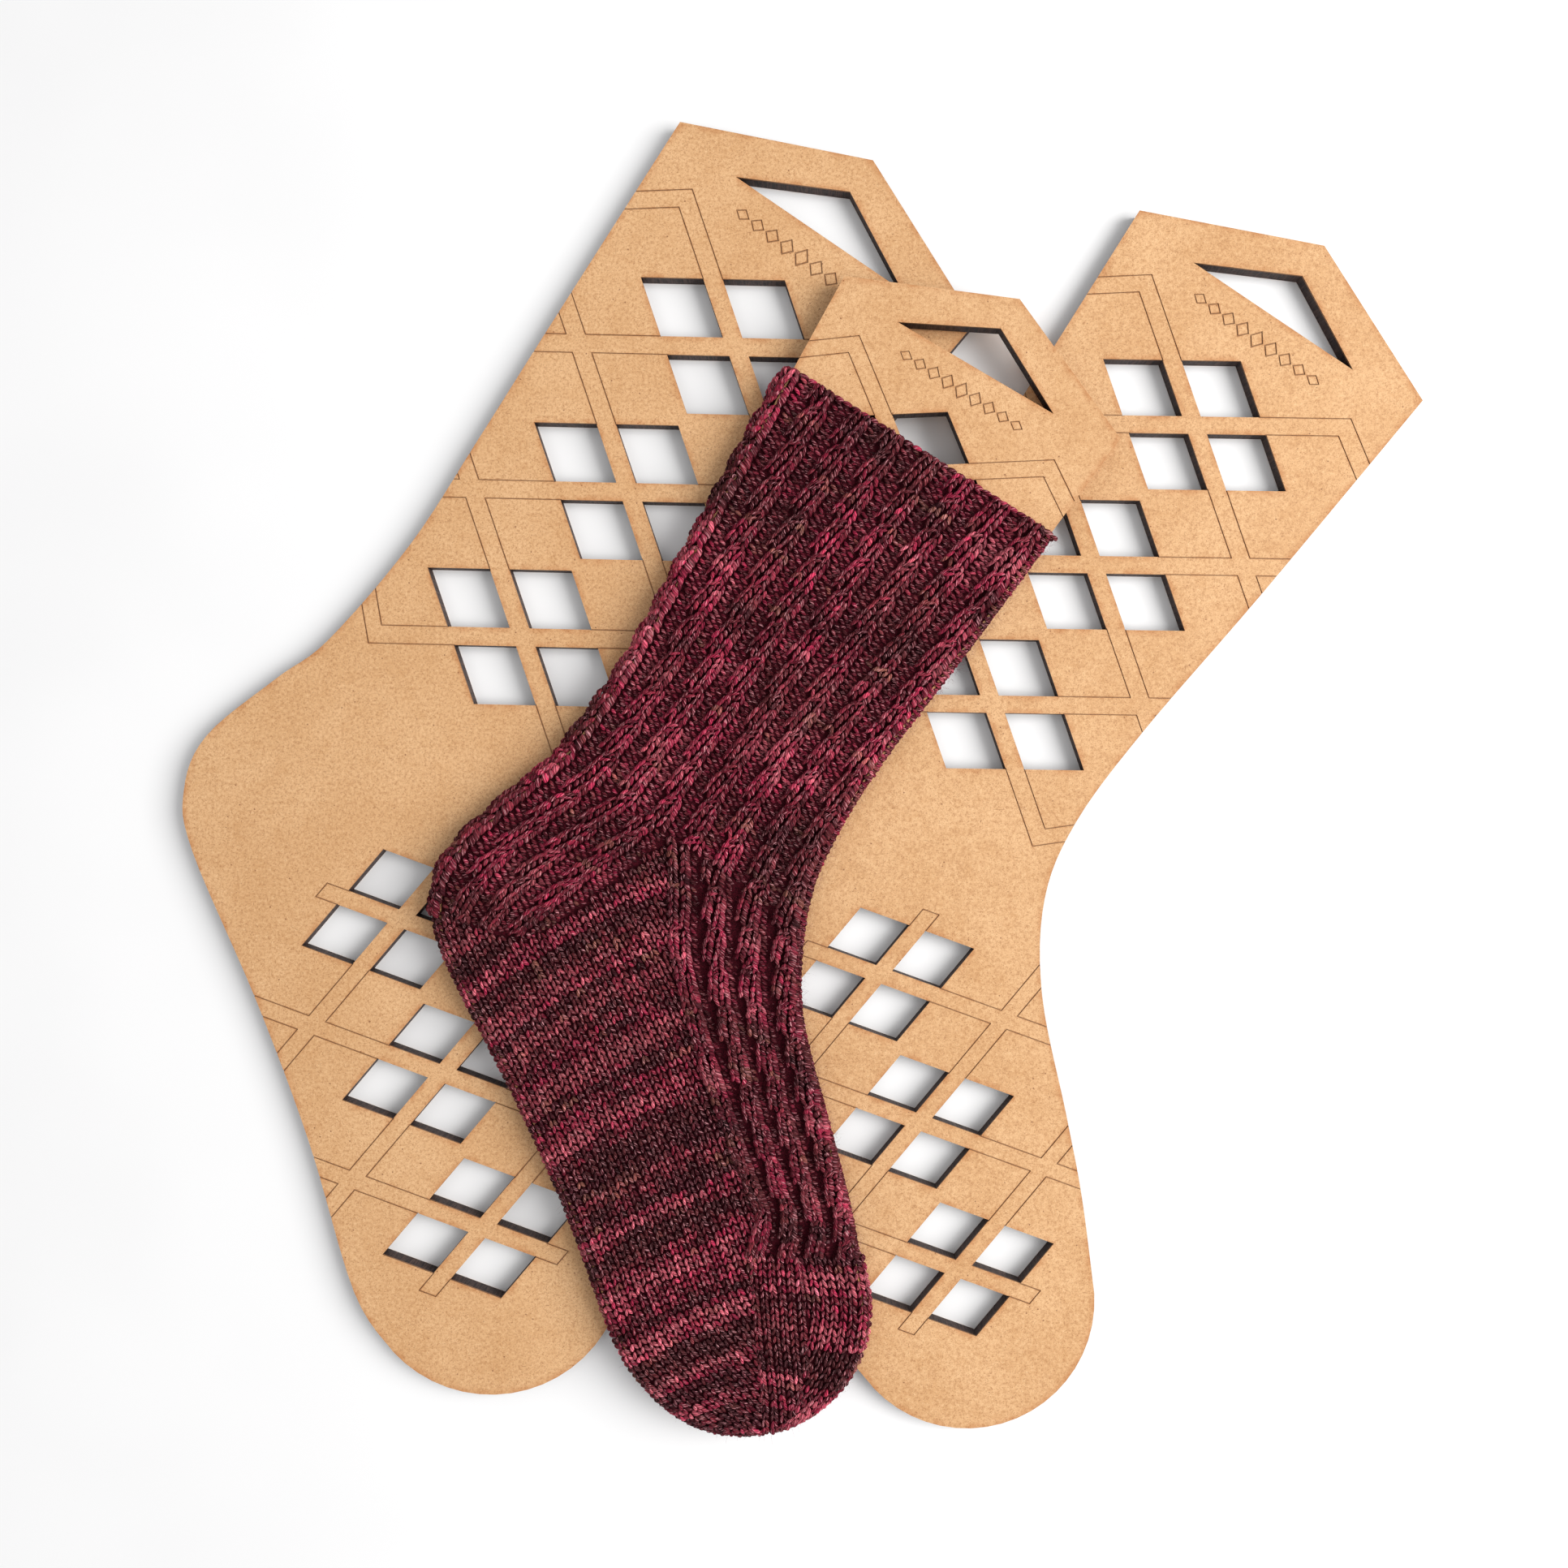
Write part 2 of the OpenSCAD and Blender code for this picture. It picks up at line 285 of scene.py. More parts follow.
def with_flecks(g, mm, colour):
    """Adds sparse short dark fibres, lying two ways, and round flecks."""
    for stretch, shift in (((0.35, 1.7, 1), 0.0), ((1.7, 0.4, 1), 40.0)):
        lying = g.vector("ADD", g.vector("MULTIPLY", mm, stretch), (shift, shift, 0))
        fibre = g.ramp(g.noise(lying, 0.9, 2.0, 0.5), 0.70, 0.78, 0.0, 0.55)
        colour = g.mix(fibre, colour, FINE_GRAIN)
    cells = g.node("ShaderNodeTexVoronoi", feature="F1")
    g.put(cells.inputs["Vector"], mm)
    cells.inputs["Scale"].default_value = 0.30
    fleck = g.ramp(cells.outputs["Distance"], 0.04, 0.11, 1.0, 0.0)
    chosen = g.math("GREATER_THAN", g.noise(cells.outputs["Position"], 3.1, 0.0), 0.52)
    share = g.math("MULTIPLY", g.math("MULTIPLY", fleck, chosen), 0.8)
    return g.mix(share, colour, FLECK)


def with_toasted_edges(g, cloud, colour):
    """Adds a patchy halo beside the cuts: seen from inside the board, a wall is near."""
    near = g.node("ShaderNodeAmbientOcclusion", samples=12, inside=True, only_local=True)
    near.inputs["Distance"].default_value = HALO_REACH * MM
    halo = g.math("MULTIPLY", g.ramp(near.outputs["AO"], 0.92, 0.45),
                  g.ramp(cloud, 0.36, 0.62, 0.12, 1.0))
    return g.mix(g.math("MULTIPLY", halo, 0.5), colour, TOAST)


def with_laser_marks(g, mm, top, colour):
    """Adds lightly burnt score lines, and charred walls streaked from top to bottom."""
    below = g.math("SUBTRACT", top, g.part(g.place(), 2))
    groove = g.math("MULTIPLY", g.ramp(below, 0.05, 0.25), g.ramp(below, 0.6, 1.0, 1.0, 0.0))
    colour = g.mix(g.math("MULTIPLY", groove, 0.6), colour, GROOVE)
    streaks = g.noise(g.vector("MULTIPLY", mm, (2.6, 2.6, 0.12)), 1.0, 3.0, 0.6)
    char = g.mix(g.ramp(streaks, 0.35, 0.7), *CHAR)
    normal = g.node("ShaderNodeTexCoord").outputs["Normal"]
    flatness = g.math("ABSOLUTE", g.part(normal, 2))
    wall = g.math("MULTIPLY", g.ramp(flatness, 0.35, 0.65, 1.0, 0.0),
                  g.math("SUBTRACT", 1.0, groove))
    return g.mix(wall, colour, char)


def board_material(name, top, offset):
    """Raw fibreboard, scorched where the laser cut or scored it.

    top is the height of the board's upper face, and offset picks the grain.
    """
    g = Graph(name)
    mm = g.vector("ADD", g.place(), offset)
    cloud = g.noise(mm, 0.16, 4.0, 0.6)
    grain = g.noise(mm, 0.95, 3.0, 0.75)
    fine = g.noise(mm, 2.6, 2.0, 0.7)
    colour = fibre_ground(g, mm, cloud, grain, fine)
    colour = with_flecks(g, mm, colour)
    colour = with_toasted_edges(g, cloud, colour)
    colour = with_laser_marks(g, mm, top, colour)
    g.set("Base Color", colour)
    g.set("Roughness", g.ramp(grain, 0.3, 0.7, 0.56, 0.74))
    g.set("Specular IOR Level", 0.3)
    rough = g.math("ADD", g.math("MULTIPLY", grain, 0.7), g.math("MULTIPLY", fine, 0.4))
    g.bump(rough, 0.35, 0.12)
    return g.material


def yarn_material(name):
    """Heathered wool: the lobe's dye with its painted light and shade, darker plies, paler fibres
    that carry a painted highlight, and painted shade between fibres and in the creases between
    plies.
    """
    g = Graph(name)
    dye = g.node("ShaderNodeAttribute", attribute_name="dye").outputs["Color"]
    strand = g.node("ShaderNodeAttribute", attribute_name="strand").outputs["Vector"]
    fibres = g.noise(g.vector("MULTIPLY", strand, (0.45, 1.7, 1.0)), 1.0, 2.0, 0.65)
    plies = g.noise(g.vector("MULTIPLY", strand, (0.35, 1.1, 1.7)), 1.0, 1.0, 0.5)
    turn = g.math("MULTIPLY", g.part(strand, 1), math.pi / PLY_PITCH)
    crest = g.math("ABSOLUTE", g.math("SINE", turn))
    # painted shade between fibres, paler fibres with a painted highlight, darker plies, then
    # painted shade in the creases between plies
    colour = g.mix(g.ramp(fibres, 0.34, 0.50, 0.70, 0.0), dye, PAINTED_FIBRE_SHADE)
    colour = g.mix(g.ramp(fibres, 0.54, 0.68, 0.0, 0.60), colour, PALE_FIBRE_HIGHLIGHT)
    colour = g.mix(g.ramp(plies, 0.56, 0.70, 0.0, 0.6), colour, DARK_PLY)
    colour = g.mix(g.ramp(crest, 0.0, 0.7, 0.62, 0.0), colour, PLY_CREASE_SHADE)
    g.set("Base Color", colour)
    g.set("Roughness", 0.7)
    g.set("Specular IOR Level", 0.14)
    height = g.math("ADD", crest, g.math("MULTIPLY", fibres, 0.6))
    g.bump(height, 0.6, 0.25)
    return g.material


def ground_material(name):
    """The shaded depth of the fabric, seen between the stitches."""
    g = Graph(name)
    fibres = g.noise(g.place(), 2.2, 3.0, 0.7)
    g.set("Base Color", g.mix(g.ramp(fibres, 0.35, 0.7), *DEPTH_SHADE))
    g.set("Roughness", 0.9)
    g.set("Specular IOR Level", 0.1)
    g.bump(fibres, 0.8, 0.4)
    return g.material


def fuzz_material(name):
    """Loose fibres, a little paler than the yarn that they come from."""
    g = Graph(name)
    g.set("Base Color", g.mix(g.ramp(g.noise(g.place(), 0.4, 2.0), 0.35, 0.65), *FUZZ))
    g.set("Roughness", 0.8)
    return g.material


def floor_material():
    """A matt, almost white table top."""
    g = Graph("pale_floor")
    g.set("Base Color", g.mix(g.ramp(g.noise(g.place(), 0.01, 2.0), 0.3, 0.7), *TABLE))
    g.set("Roughness", 0.7)
    return g.material


# ---- the sock's outline and how it wraps the board --------------------------

def cad_outline():
    """The sock's outer outline in the small blocker's frame, anticlockwise."""
    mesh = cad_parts["sock"].data
    co = np.array([v.co for v in mesh.vertices]) / MM
    tolerance = 0.001
    top = co[:, 2].max() - tolerance
    count, places = {}, {}
    for face in mesh.polygons:
        ring = [tuple(np.round(co[i], 3)) for i in face.vertices]
        if min(p[2] for p in ring) < top:
            continue
        for a, b in zip(ring, ring[1:] + ring[:1]):
            key = frozenset((a[:2], b[:2]))
            count[key] = count.get(key, 0) + 1
            places[key] = (a[:2], b[:2])
    after = dict(places[key] for key in count if count[key] == 1)
    start = next(iter(after))
    loop = [start]
    while after[loop[-1]] != start:
        loop.append(after[loop[-1]])
    loop = from_shared(np.array(loop))
    area = np.sum(loop[:, 0] * np.roll(loop[:, 1], -1) - loop[:, 1] * np.roll(loop[:, 0], -1))
    return loop if area > 0 else loop[::-1]


def resampled(path, count):
    """A path as count + 1 evenly spaced points."""
    steps = np.linalg.norm(np.diff(path, axis=0), axis=1)
    along = np.concatenate([[0], np.cumsum(steps)])
    at = np.linspace(0, along[-1], count + 1)
    return np.stack([np.interp(at, along, path[:, k]) for k in (0, 1)], axis=1)


def through(knots, count):
    """A smooth path through knots, as count + 1 evenly spaced points."""
    k = np.asarray(knots, float)
    k = np.vstack([2 * k[0] - k[1], k, 2 * k[-1] - k[-2]])
    per_span = 12
    t = np.linspace(0, 1, per_span, endpoint=False)[:, None]
    runs = []
    for a, b, c, d in zip(k, k[1:], k[2:], k[3:]):
        runs.append(0.5 * (2 * b + (c - a) * t + (2 * a - 5 * b + 4 * c - d) * t ** 2
                           + (3 * b - a - 3 * c + d) * t ** 3))
    return resampled(np.vstack(runs + [k[-2:-1]]), count)


class Wrap:
    """Where the fabric's flat layout goes once it is pulled over the board.

    depth and inward are grids of the distance to the outline and of the way in.
    quarter is the length of fabric from the edge's middle to where it turns
    flat, and extra is how much longer that is than its own plan.
    """

    cell = 1.0          # of the grids
    margin = 8.0        # of the grids round the outline

    def __init__(self, loop):
        self.cuff = loop[:, 1].max()
        self.left, self.right = self.chains(self.without_cuff(loop))
        self.quarter = math.pi / 2 * math.sqrt((EDGE_ROUND ** 2 + HALF_BODY ** 2) / 2)
        self.extra = self.quarter - EDGE_ROUND - EDGE_YARN
        # above the cuff the sides run straight on, so that the cuff is no edge
        up = np.array([0, 40.0])
        ring = np.vstack([self.left[:1] + up, self.left, self.right[::-1], self.right[:1] + up])
        self.low = ring.min(0) - self.margin
        shape = np.ceil((ring.max(0) + self.margin - self.low) / self.cell).astype(int) + 1
        xs = self.low[0] + self.cell * np.arange(shape[0])
        ys = self.low[1] + self.cell * np.arange(shape[1])
        grid = np.stack(np.meshgrid(xs, ys, indexing="ij"), -1).reshape(-1, 2)
        self.depth = self.signed_depth(grid, ring).reshape(shape)
        gx, gy = np.gradient(self.depth, self.cell)
        size = np.maximum(np.hypot(gx, gy), 1e-6)
        self.inward = np.stack([gx / size, gy / size], -1)

    def without_cuff(self, loop):
        """The outline from the cuff's left end round the toe to its right end."""
        on_cuff = loop[:, 1] > self.cuff - CUFF_CORNER
        leaves = on_cuff & ~np.roll(on_cuff, -1)
        first = int(np.argmax(leaves))
        path = np.roll(loop, -first, axis=0)
        keep = ~(path[:, 1] > self.cuff - CUFF_CORNER)
        keep[0] = True
        # the first dropped point is the cuff's right end, and it stays
        keep[np.nonzero(~keep)[0][0]] = True
        return path[keep]

    def chains(self, sides):
        """The back and sole side, then the front and instep side, each from cuff to toe tip."""
        way = np.array([math.cos(FOOT_WAY), math.sin(FOOT_WAY)])
        tip = int(np.argmax(sides @ way))
        return sides[:tip + 1], sides[tip:][::-1]

    def signed_depth(self, points, ring):
        """Distance inside the ring, ignoring its closing edge; negative outside."""
        a, b = ring[:-1], ring[1:]
        best = np.full(len(points), 1e9)
        inside = np.zeros(len(points), bool)
        for p, q in zip(a, b):
            if np.allclose(p, q):
                continue
            t = np.clip(((points - p) @ (q - p)) / ((q - p) @ (q - p)), 0, 1)
            best = np.minimum(best, np.linalg.norm(points - p - t[:, None] * (q - p), axis=1))
        for p, q in zip(ring, np.roll(ring, -1, axis=0)):
            if p[1] == q[1]:
                continue
            crosses = (p[1] > points[:, 1]) != (q[1] > points[:, 1])
            x = p[0] + (points[:, 1] - p[1]) * (q[0] - p[0]) / (q[1] - p[1])
            inside ^= crosses & (points[:, 0] < x)
        return np.where(inside, best, -best)

    def sample(self, field, xy):
        """A grid's values at any places, interpolated between its cells."""
        at = (xy - self.low) / self.cell
        i = np.clip(np.floor(at).astype(int), 0, np.array(self.depth.shape) - 2)
        f = np.clip(at - i, 0, 1)
        x, y = i[:, 0], i[:, 1]
        fx, fy = f[:, 0], f[:, 1]
        if field.ndim == 3:
            fx, fy = fx[:, None], fy[:, None]
        return ((field[x, y] * (1 - fx) + field[x + 1, y] * fx) * (1 - fy)
                + (field[x, y + 1] * (1 - fx) + field[x + 1, y + 1] * fx) * fy)

    def __call__(self, xy, out):
        """Points in the small blocker's frame, z from the board's mid-plane, for
        layout points xy that stand out from the ground surface by out."""
        depth = self.sample(self.depth, xy)
        inward = self.sample(self.inward, xy)
        past_edge = -0.2    # a little way round to the other face is allowed
        angle = np.clip((depth + self.extra) / self.quarter, past_edge, 1) * math.pi / 2
        flat = angle >= math.pi / 2 - 1e-6
        wanted = EDGE_YARN + EDGE_ROUND * (1 - np.cos(angle)) - out * np.cos(angle)
        shift = np.where(flat, 0.0, wanted - depth)
        z = (HALF_BODY + out) * np.sin(angle)
        return np.column_stack([xy + inward * shift[:, None], z])

    def shared(self, xy, out, side):
        """Wrapped points on one face of the board, in the shared frame."""
        placed = self(xy, out)
        placed[:, 2] = MID_Z + side * placed[:, 2]
        placed[:, :2] = to_shared(placed[:, :2])
        return placed

    def layout_edge(self, path):
        """Where the layout has to end for its edge to be wrapped to this path."""
        return path - self.sample(self.inward, path) * self.extra

    def rail(self, chain, start, end, count):
        """An even path along a side of the outline, between the places nearest start and end."""
        fine = resampled(chain, count=1200)
        i = int(np.argmin(np.linalg.norm(fine - start, axis=1)))
        j = int(np.argmin(np.linalg.norm(fine - end, axis=1)))
        return self.layout_edge(resampled(fine[i:j + 1], count))


# ---- knitting --------------------------------------------------------------

class Loft:
    """A piece of fabric between two rails: u in stitches across, v in rows.

    Without a number of stitches, they keep their own width, counted from the
    left rail or the right one. bulge curves the rows towards the toe.
    """

    bulge_width = 80.0      # the row width at which the bulge is met in full

    def __init__(self, left, right, stitches=None, bulge=0.0, from_right=False):
        self.left, self.right = left, right
        self.rows = len(left) - 1
        self.stitches = stitches
        self.bulge = bulge
        self.from_right = from_right

    def ends(self, v):
        """Both ends of the row at v, carried on straight past the first and last row."""
        row = np.clip(np.floor(v).astype(int), 0, self.rows - 1)
        part = (v - row)[..., None]
        return tuple(rail[row] * (1 - part) + rail[row + 1] * part
                     for rail in (self.left, self.right))

    def width(self, v):
        a, b = self.ends(np.asarray(v, float))
        return np.linalg.norm(b - a, axis=-1)

    def share(self, u, v):
        """How far across the row, from 0 at the left rail to 1 at the right one."""
        if self.stitches:
            return u / self.stitches
        part = u * STITCH_W / np.maximum(self.width(v), 1e-3)
        return 1 - part if self.from_right else part

    def __call__(self, u, v):
        a, b = self.ends(v)
        s = self.share(u, v)
        chord = b - a
        length = np.maximum(np.linalg.norm(chord, axis=-1), 1e-3)
        side = np.stack([-chord[:, 1], chord[:, 0]], -1) / length[:, None]
        lift = self.bulge * 4 * s * (1 - s) * length / self.bulge_width
        return a + chord * s[:, None] + side * lift[:, None]


class Shifted:
    """A layout whose stitches are moved sideways, each by its own shift."""

    def __init__(self, cloth, shift):
        self.cloth = cloth
        self.shift = shift

    def __call__(self, u, v):
        across = self.cloth(u, v)
        beside = self.cloth(u + 1, v)
        return across + (beside - across) * np.reshape(self.shift, (-1, 1))


class Yarn:
    """A growing list of lobes: ends in plan, sizes, height, and dye with its painted light and
    shade.

    tilt raises the first end over the second, and roll raises the right-hand
    side of a lobe that runs towards the toe.
    """

    keys = ("a", "b", "half_w", "half_t", "out", "arch", "tilt", "roll", "dye")

    def __init__(self):
        self.parts = {k: [] for k in self.keys}

    def add(self, a, b, half_w, half_t, out, arch, dye, tilt=0.0, roll=0.0):
        """Adds lobes from a to b. A size is one number, or one for each lobe."""
        n = len(a)
        full = [np.broadcast_to(np.asarray(x, float), (n,))
                for x in (half_w, half_t, out, arch, tilt, roll)]
        for key, x in zip(self.keys, [a, b, *full, dye]):
            self.parts[key].append(x)

    def joined(self):
        return {k: np.concatenate(v) for k, v in self.parts.items()}


# The hand-dyed yarn, from its darkest to its palest, and its two browns
DARK = srgb(66, 14, 26)
WINE = srgb(116, 22, 44)
RASPBERRY = srgb(168, 38, 72)
ROSE = srgb(206, 96, 112)
UMBER = srgb(104, 48, 48)
TAN = srgb(164, 108, 90)


def dyed(u, v, stretch, seed, contrast=1.75):
    """The hand-dyed yarn's colour at a stitch: streaks along the rows, with speckle.

    stretch is the size of a streak, in stitches and in rows.
    """
    tone = Patchwork(seed)(u / stretch[0], v / stretch[1])
    fine = Patchwork(seed + 1)(u / 2.1, v / 1.3)
    hue = Patchwork(seed + 2)(u / (stretch[0] * 0.8), v / (stretch[1] * 1.4))
    speck = np.random.default_rng(seed + 3).random(len(u))

    # from dark to pale, then towards brown in broad patches and towards tan in rare ones
    value = 0.55 * tone + 0.27 * fine + 0.18 * speck
    value = np.clip((value - 0.5) * contrast + 0.5, 0, 1)[:, None]
    low = DARK + (WINE - DARK) * smooth_step(value / 0.45)
    high = RASPBERRY + (ROSE - RASPBERRY) * smooth_step((value - 0.72) / 0.28)
    colour = low + (high - low) * smooth_step((value - 0.40) / 0.38)
    brown = smooth_step((hue[:, None] - 0.55) / 0.25) * 0.5
    colour = colour + (UMBER * (0.35 + 0.9 * value) - colour) * brown
    rare = Patchwork(seed + 4)(u / 3.0, v / 1.2)[:, None]
    return colour + (TAN - colour) * smooth_step((rare - 0.84) / 0.1) * 0.55


def knit_stitches(yarn, cloth, u, v, out, dye, rng, length=1.22, half_w=0.60, roll=0.0,
                  low_shade=0.84):
    """Two leaning legs a stitch, their tips towards the cuff and on top.

    The yarn's twist makes the left leg stand proud and lean more; the right
    one lies lower. Painted light and shade lighten the left leg's dye and
    darken the right one's by low_shade, as the key light falls on them.
    """
    def wobble(size):
        return rng.normal(0, size, len(u))

    tips_apart = 0.08
    # painted light and shade: the proud left leg's dye is lightened, the low right one's darkened
    for side, lean, proud, shade in ((-1, 0.34, 0.10, 1.12), (1, 0.26, -0.16, low_shade)):
        tip_u = u + 0.5 + side * tips_apart
        foot_u = u + 0.5 + side * (tips_apart + lean)
        top = cloth(tip_u + wobble(0.05), v + 0.5 - length / 2 + wobble(0.09))
        foot = cloth(foot_u + wobble(0.05), v + 0.5 + length / 2 + wobble(0.09))
        yarn.add(top, foot, half_w=half_w * (1 + wobble(0.08)), half_t=0.62,
                 out=out + proud + wobble(0.06), arch=0.50, dye=dye * shade,
                 tilt=0.22, roll=roll - side * 0.12)


def purl_stitches(yarn, cloth, u, v, out, dye, rng):
    """A fat bar across, and a thinner one below it that reaches to the next column.
    Both are darkened, the lower one more: painted shade in the purl furrow.
    """
    def wobble(size):
        return rng.normal(0, size, len(u))

    # painted shade: both bars' dye is darkened, the lower bar's more
    yarn.add(cloth(u - 0.10 + wobble(0.05), v + 0.30 + wobble(0.06)),
             cloth(u + 1.06 + wobble(0.05), v + 0.68 + wobble(0.06)),
             half_w=0.66, half_t=0.60, out=out + wobble(0.12), arch=0.45, dye=dye * 0.8)
    yarn.add(cloth(u + 0.42 + wobble(0.07), v + 1.12 + wobble(0.09)),
             cloth(u + 1.42 + wobble(0.07), v + 0.86 + wobble(0.09)),
             half_w=0.56, half_t=0.52, out=out - 0.30 + wobble(0.12), arch=0.25,
             dye=dye * 0.6)


BANDS = (75.0, 1.8)     # colour streaks of plain knitting: stitches long, rows high
BAND_CONTRAST = 3.0

# A rib has four columns: a purl furrow, two knit columns and a purl one
RIB_RELIEF = np.array([-0.55, 1.55, 1.65, 0.20])  # height of each column
RIB_ROLL = np.array([0.0, 0.40, -0.26, 0.0])      # how far each one leans out sideways
STEP_ROWS = 6           # rows to one slanted step of a rib
RIB_SWELL = 1.2         # how much higher the middle of a step stands than its ends
RIB_SWAY = 0.65         # how far a rib leans over a step, in stitches
RIB_PINCH = 0.04        # how much each knit column spreads where its step is fullest
LEG_SPREAD = 0.28       # how far a rib's two knit columns spread, in stitches
INSTEP_SPREAD = 0.36


def rib_number(u):
    """Which rib a stitch belongs to; the first rib starts one stitch off the edge."""
    return np.floor((u + 1) / 4)


def rib_place(u, spread):
    """Spreads the knit columns of each rib by so many stitches and narrows the purl ones."""
    start = 4 * rib_number(u) - 1
    return start + np.interp(u - start, (0, 1, 3, 4), (0, 1 - spread, 3 + spread, 4))


def rib_steps(u, v, stitches):
    """The slanted steps of a rib: it leans over a few rows, then jumps back.

    Gives the shift in stitches and how far along its step each stitch is.
    """
    phase = v / STEP_ROWS + 0.5 * rib_number(u)
    step = phase - np.floor(phase)
    room = np.clip(np.minimum(u, stitches - 1 - u) / 3.0, 0, 1)
    return RIB_SWAY * (0.5 - step) * room, step


def ribbed(cloth, stitches, stretch, seed, spread, drop=0.0, shade=1.0):
    """Two-by-two rib whose knit pairs lean in short, staggered steps.

    drop sinks the purl columns between them deeper into the fabric, except the
    last one, which lies on the edge. shade darkens the dye.
    """
    rng = np.random.default_rng(seed)
    yarn = Yarn()
    u, v = [g.ravel() for g in np.meshgrid(np.arange(stitches, dtype=float),
                                           np.arange(cloth.rows, dtype=float))]
    shift, step = rib_steps(u, v, stitches)
    dye = dyed(u, v, stretch, seed) * shade
    place = np.mod(u + 1, 4).astype(int)
    fullness = np.sin(math.pi * step) - 0.5
    sunk = drop * np.clip(stitches - 1 - u, 0, 1)
    relief = RIB_RELIEF[place]
    out = relief + np.where(relief > 1, RIB_SWELL * fullness, -sunk)

    def gathered(across, along):
        return cloth(rib_place(across, spread), along)

    for side in (1, 2):
        knit = place == side
        shift[knit] += RIB_PINCH * fullness[knit] * (2 * side - 3)
        knit_stitches(yarn, Shifted(gathered, shift[knit]), u[knit], v[knit], out[knit],
                      dye[knit], rng, length=1.5,
                      half_w=(0.56 + 0.62 * spread) * (1 + 0.3 * fullness[knit]),
                      roll=RIB_ROLL[side], low_shade=0.95)
    purl = (place == 0) | (place == 3)
    purl_stitches(yarn, Shifted(gathered, 0.6 * shift[purl]), u[purl], v[purl], out[purl],
                  dye[purl], rng)

    # each step begins with one strand that crosses over the knit pair
    starts = (place == 1) & (step < 1.0 / STEP_ROWS) & (v > 1)
    crossing = Shifted(gathered, shift[starts])
    us, vs = u[starts], v[starts]
    yarn.add(crossing(us + 0.15, vs + 0.9), crossing(us + 1.15, vs - 0.4),
             half_w=0.62, half_t=0.6, out=1.75, arch=0.4, dye=dye[starts], tilt=-0.3)
    return yarn


def plain(cloth, widest, seed, hide=None, more_rows=0):
    """Stockinette, cut off where its row ends and left out where hide says so."""
    rng = np.random.default_rng(seed)
    yarn = Yarn()
    u, v = [g.ravel() for g in np.meshgrid(np.arange(widest, dtype=float),
                                           np.arange(cloth.rows + more_rows, dtype=float))]
    s = cloth.share(u + 0.2, v + 0.5)
    keep = (s > 0) & (s < 1)
    if hide is not None:
        keep &= ~hide(cloth(u + 0.5, v + 0.5))
    u, v = u[keep], v[keep]
    knit_stitches(yarn, cloth, u, v, 0.40 + rng.normal(0, 0.04, len(u)),
                  dyed(u, v, BANDS, seed, contrast=BAND_CONTRAST), rng)
    return yarn


# A lobe of yarn: rings at these places along it, from -1 to 1, and two end points
LOBE_RINGS = (-0.78, -0.28, 0.28, 0.78)
LOBE_SIDES = 6


def lobe_template():
    """Each point's place along, across and up on a lobe and its turn, and the triangles."""
    turn = 2 * math.pi * np.arange(LOBE_SIDES) / LOBE_SIDES - math.pi / 2
    rings = [(t, math.sqrt(1 - t * t)) for t in LOBE_RINGS]
    points = [(t, r * math.cos(p), r * math.sin(p), p) for t, r in rings for p in turn]
    points += [(-1, 0, 0, 0), (1, 0, 0, 0)]
    faces = []
    n = LOBE_SIDES
    for k in range(len(rings) - 1):
        for i in range(n):
            a, b = k * n + i, k * n + (i + 1) % n
            faces += [(a, a + n, b + n), (a, b + n, b)]
    first, last = len(points) - 2, len(points) - 1
    end = (len(rings) - 1) * n
    for i in range(n):
        j = (i + 1) % n
        faces += [(first, i, j), (last, end + j, end + i)]
    return np.array(points), np.array(faces)


def lobe_points(lobes, template, half, length, rng):
    """Plan places and heights of all the points of all the lobes."""
    along, side, up = [template[None, :, k] for k in (0, 1, 2)]
    middle = (lobes["a"] + lobes["b"]) / 2
    across = np.stack([-half[:, 1], half[:, 0]], 1) / length[:, None]
    bend = rng.normal(0, 0.10, len(middle))[:, None] * (along ** 2 - 0.4)
    plan = (middle[:, None] + half[:, None] * along[..., None]
            + across[:, None] * (side * lobes["half_w"][:, None] + bend)[..., None])
    out = (lobes["out"][:, None] + lobes["arch"][:, None] * (1 - along ** 2)
           + up * lobes["half_t"][:, None] - lobes["tilt"][:, None] * along
           + lobes["roll"][:, None] * side)
    return plan, out


def paint_lobes(mesh, dyes_with_shade, template, length, rng):
    """Stores each lobe's dye, with its painted light and shade, and the places along and round it
    that its strands follow.
    """
    n, k = len(dyes_with_shade), len(template)
    brown = 0.5 * rng.random((n, 1)) ** 2
    tint = (dyes_with_shade * (1 - brown) + UMBER * brown) * np.exp(rng.normal(0, 0.33, (n, 1)))
    dye = np.ones((n * k, 4), np.float32)
    dye[:, :3] = np.repeat(tint, k, axis=0).clip(0.003, 1)
    mesh.attributes.new("dye", "FLOAT_COLOR", "POINT").data.foreach_set("color", dye.ravel())
    along = template[None, :, 0] * length[:, None]
    around = template[None, :, 3] * 0.9 + 0.9 * along
    apart = 400     # each lobe takes its strands from another part of the noise
    strand = np.stack([along, around, np.zeros((n, k))], -1) + rng.random((n, 1, 3)) * apart
    mesh.attributes.new("strand", "FLOAT_VECTOR", "POINT").data.foreach_set(
        "vector", strand.astype(np.float32).ravel())


